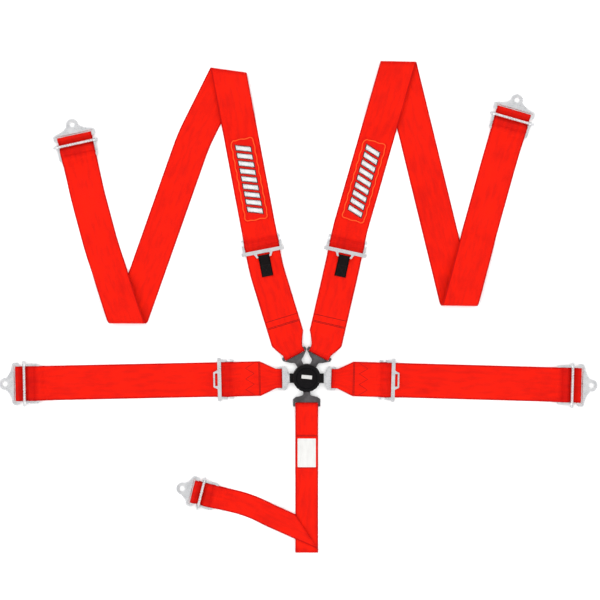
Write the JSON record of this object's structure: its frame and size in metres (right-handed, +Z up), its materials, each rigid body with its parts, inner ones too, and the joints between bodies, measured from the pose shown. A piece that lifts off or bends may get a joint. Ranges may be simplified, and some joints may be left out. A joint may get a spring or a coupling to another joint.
{
  "type": "racing harness",
  "caption": "Red webbing racing harness laid flat: rotary buckle, shoulder, lap and crotch belts with tongues, adjusters, slides and bolt-in anchor brackets.",
  "frame": {"origin": "centre of the buckle's flat back face, at the height of the surface that the harness lies on", "axes": "+X along the lap belts to the right of a viewer looking down, +Y towards the shoulder belts' top folds, +Z up out of the buckle's knob"},
  "size_m": [1.316, 1.0803, 0.0284],
  "materials": {
    "webbing": "woven red polyester webbing with stitched seams",
    "tab_webbing": "woven black webbing",
    "patch_cloth": "plain red patch with an orange stitched border",
    "label_cloth": "blank white woven label",
    "bright_steel": "bright zinc or chrome plate",
    "black_steel": "satin gunmetal black",
    "black_plastic": "satin black",
    "gloss_black": "gloss black, blank"
  },
  "bodies": {
    "base": {"buckle_base_plate": "black_steel", "buckle_housing": "black_plastic", "buckle_centre_post": "black_steel", "buckle_pin_guide": "bright_steel", "buckle_knob_spring": "bright_steel", "lap_right_tongue": "bright_steel", "lap_right_webbing": "webbing", "lap_right_slide": "bright_steel", "lap_right_lock_bar": "bright_steel"},
    "knob": {"buckle_knob": "black_plastic", "buckle_knob_disc": "gloss_black", "buckle_cam": "bright_steel"},
    "shoulder_left_latch": {"shoulder_left_latch_pin": "bright_steel"},
    "shoulder_right_latch": {"shoulder_right_latch_pin": "bright_steel"},
    "lap_left_latch": {"lap_left_latch_pin": "bright_steel"},
    "lap_right_latch": {"lap_right_latch_pin": "bright_steel"},
    "crotch_latch": {"crotch_latch_pin": "bright_steel"},
    "shoulder_left_belt": {"shoulder_left_tongue": "black_steel", "shoulder_left_webbing": "webbing", "shoulder_left_slide": "bright_steel", "shoulder_left_lock_bar": "bright_steel", "shoulder_left_patch": "patch_cloth"},
    "shoulder_left_adjuster": {"shoulder_left_adjuster": "bright_steel"},
    "shoulder_left_pull_tab": {"shoulder_left_pull_tab": "tab_webbing"},
    "shoulder_left_bracket": {"shoulder_left_bracket": "bright_steel"},
    "shoulder_right_belt": {"shoulder_right_tongue": "black_steel", "shoulder_right_webbing": "webbing", "shoulder_right_slide": "bright_steel", "shoulder_right_lock_bar": "bright_steel", "shoulder_right_patch": "patch_cloth"},
    "shoulder_right_adjuster": {"shoulder_right_adjuster": "bright_steel"},
    "shoulder_right_pull_tab": {"shoulder_right_pull_tab": "tab_webbing"},
    "shoulder_right_bracket": {"shoulder_right_bracket": "bright_steel"},
    "lap_left_belt": {"lap_left_tongue": "bright_steel", "lap_left_webbing": "webbing", "lap_left_slide": "bright_steel", "lap_left_lock_bar": "bright_steel"},
    "lap_left_adjuster": {"lap_left_adjuster": "bright_steel"},
    "lap_left_bracket": {"lap_left_bracket": "bright_steel"},
    "lap_right_adjuster": {"lap_right_adjuster": "bright_steel"},
    "lap_right_bracket": {"lap_right_bracket": "bright_steel"},
    "crotch_belt": {"crotch_tongue": "black_steel", "crotch_webbing": "webbing", "crotch_slide": "bright_steel", "crotch_lock_bar": "bright_steel", "crotch_label": "label_cloth"},
    "crotch_bracket": {"crotch_bracket": "bright_steel"}
  },
  "joints": [
    {"name": "knob_turn", "type": "hinge", "parent": "base", "child": "knob", "pos_m": [0, 0, 0.02], "axis": [0, 0, 1], "range_deg": [0, 35], "stiffness_Nm_per_rad": 0.05},
    {"name": "shoulder_left_latch_lift", "type": "slide", "parent": "base", "child": "shoulder_left_latch", "axis": [0, 0, 1], "range_m": [0, 0.00098]},
    {"name": "shoulder_right_latch_lift", "type": "slide", "parent": "base", "child": "shoulder_right_latch", "axis": [0, 0, 1], "range_m": [0, 0.00098]},
    {"name": "lap_left_latch_lift", "type": "slide", "parent": "base", "child": "lap_left_latch", "axis": [0, 0, 1], "range_m": [0, 0.00098]},
    {"name": "lap_right_latch_lift", "type": "slide", "parent": "base", "child": "lap_right_latch", "axis": [0, 0, 1], "range_m": [0, 0.00098]},
    {"name": "crotch_latch_lift", "type": "slide", "parent": "base", "child": "crotch_latch", "axis": [0, 0, 1], "range_m": [0, 0.00098]},
    {"name": "shoulder_left_tongue_slide", "type": "slide", "parent": "base", "child": "shoulder_left_belt", "axis": [-0.4633, 0.8862, 0], "range_m": [0, 0.035]},
    {"name": "shoulder_left_adjuster_tilt", "type": "hinge", "parent": "shoulder_left_belt", "child": "shoulder_left_adjuster", "pos_m": [-0.09937, 0.29432, 0.00489], "axis": [-0.9816, -0.1908, 0], "range_deg": [0, 30]},
    {"name": "shoulder_left_pull_tab_swing", "type": "hinge", "parent": "shoulder_left_adjuster", "child": "shoulder_left_pull_tab", "pos_m": [-0.09388, 0.26605, 0.00866], "axis": [-0.9816, -0.1908, 0], "range_deg": [0, 150]},
    {"name": "shoulder_left_bracket_swing", "type": "hinge", "parent": "shoulder_left_belt", "child": "shoulder_left_bracket", "pos_m": [-0.50958, 0.52774, 0.00565], "axis": [0.9767, 0.2147, 0], "range_deg": [-5, 90]},
    {"name": "shoulder_right_tongue_slide", "type": "slide", "parent": "base", "child": "shoulder_right_belt", "axis": [0.4695, 0.8829, 0], "range_m": [0, 0.035]},
    {"name": "shoulder_right_adjuster_tilt", "type": "hinge", "parent": "shoulder_right_belt", "child": "shoulder_right_adjuster", "pos_m": [0.08841, 0.29321, 0.00489], "axis": [-0.9774, 0.2113, 0], "range_deg": [0, 30]},
    {"name": "shoulder_right_pull_tab_swing", "type": "hinge", "parent": "shoulder_right_adjuster", "child": "shoulder_right_pull_tab", "pos_m": [0.08232, 0.26506, 0.00866], "axis": [-0.9774, 0.2113, 0], "range_deg": [0, 150]},
    {"name": "shoulder_right_bracket_swing", "type": "hinge", "parent": "shoulder_right_belt", "child": "shoulder_right_bracket", "pos_m": [0.45424, 0.58227, 0.00565], "axis": [0.9608, -0.2773, 0], "range_deg": [-5, 90]},
    {"name": "lap_left_tongue_slide", "type": "slide", "parent": "base", "child": "lap_left_belt", "axis": [-0.9998, -0.0209, 0], "range_m": [0, 0.035]},
    {"name": "lap_left_adjuster_tilt", "type": "hinge", "parent": "lap_left_belt", "child": "lap_left_adjuster", "pos_m": [-0.17456, -0.00366, 0.00489], "axis": [-0.0209, 0.9998, 0], "range_deg": [0, 30]},
    {"name": "lap_left_bracket_swing", "type": "hinge", "parent": "lap_left_belt", "child": "lap_left_bracket", "pos_m": [-0.63386, -0.01328, 0.00565], "axis": [-0.0209, 0.9998, 0], "range_deg": [-5, 90]},
    {"name": "lap_right_adjuster_tilt", "type": "hinge", "parent": "base", "child": "lap_right_adjuster", "pos_m": [0.17293, -0.00483, 0.00489], "axis": [-0.0279, -0.9996, 0], "range_deg": [0, 30]},
    {"name": "lap_right_bracket_swing", "type": "hinge", "parent": "base", "child": "lap_right_bracket", "pos_m": [0.59727, -0.01668, 0.00565], "axis": [-0.0279, -0.9996, 0], "range_deg": [-5, 90]},
    {"name": "crotch_tongue_slide", "type": "slide", "parent": "base", "child": "crotch_belt", "axis": [0, -1, 0], "range_m": [0, 0.035]},
    {"name": "crotch_bracket_swing", "type": "hinge", "parent": "crotch_belt", "child": "crotch_bracket", "pos_m": [-0.24534, -0.25058, 0.00565], "axis": [0.2419, 0.9703, 0], "range_deg": [-5, 90]}
  ],
  "couplings": [
    {"joint": "shoulder_left_latch_lift", "follows": "knob_turn", "m_per_rad": 0.0016},
    {"joint": "shoulder_right_latch_lift", "follows": "knob_turn", "m_per_rad": 0.0016},
    {"joint": "lap_left_latch_lift", "follows": "knob_turn", "m_per_rad": 0.0016},
    {"joint": "lap_right_latch_lift", "follows": "knob_turn", "m_per_rad": 0.0016},
    {"joint": "crotch_latch_lift", "follows": "knob_turn", "m_per_rad": 0.0016}
  ]
}
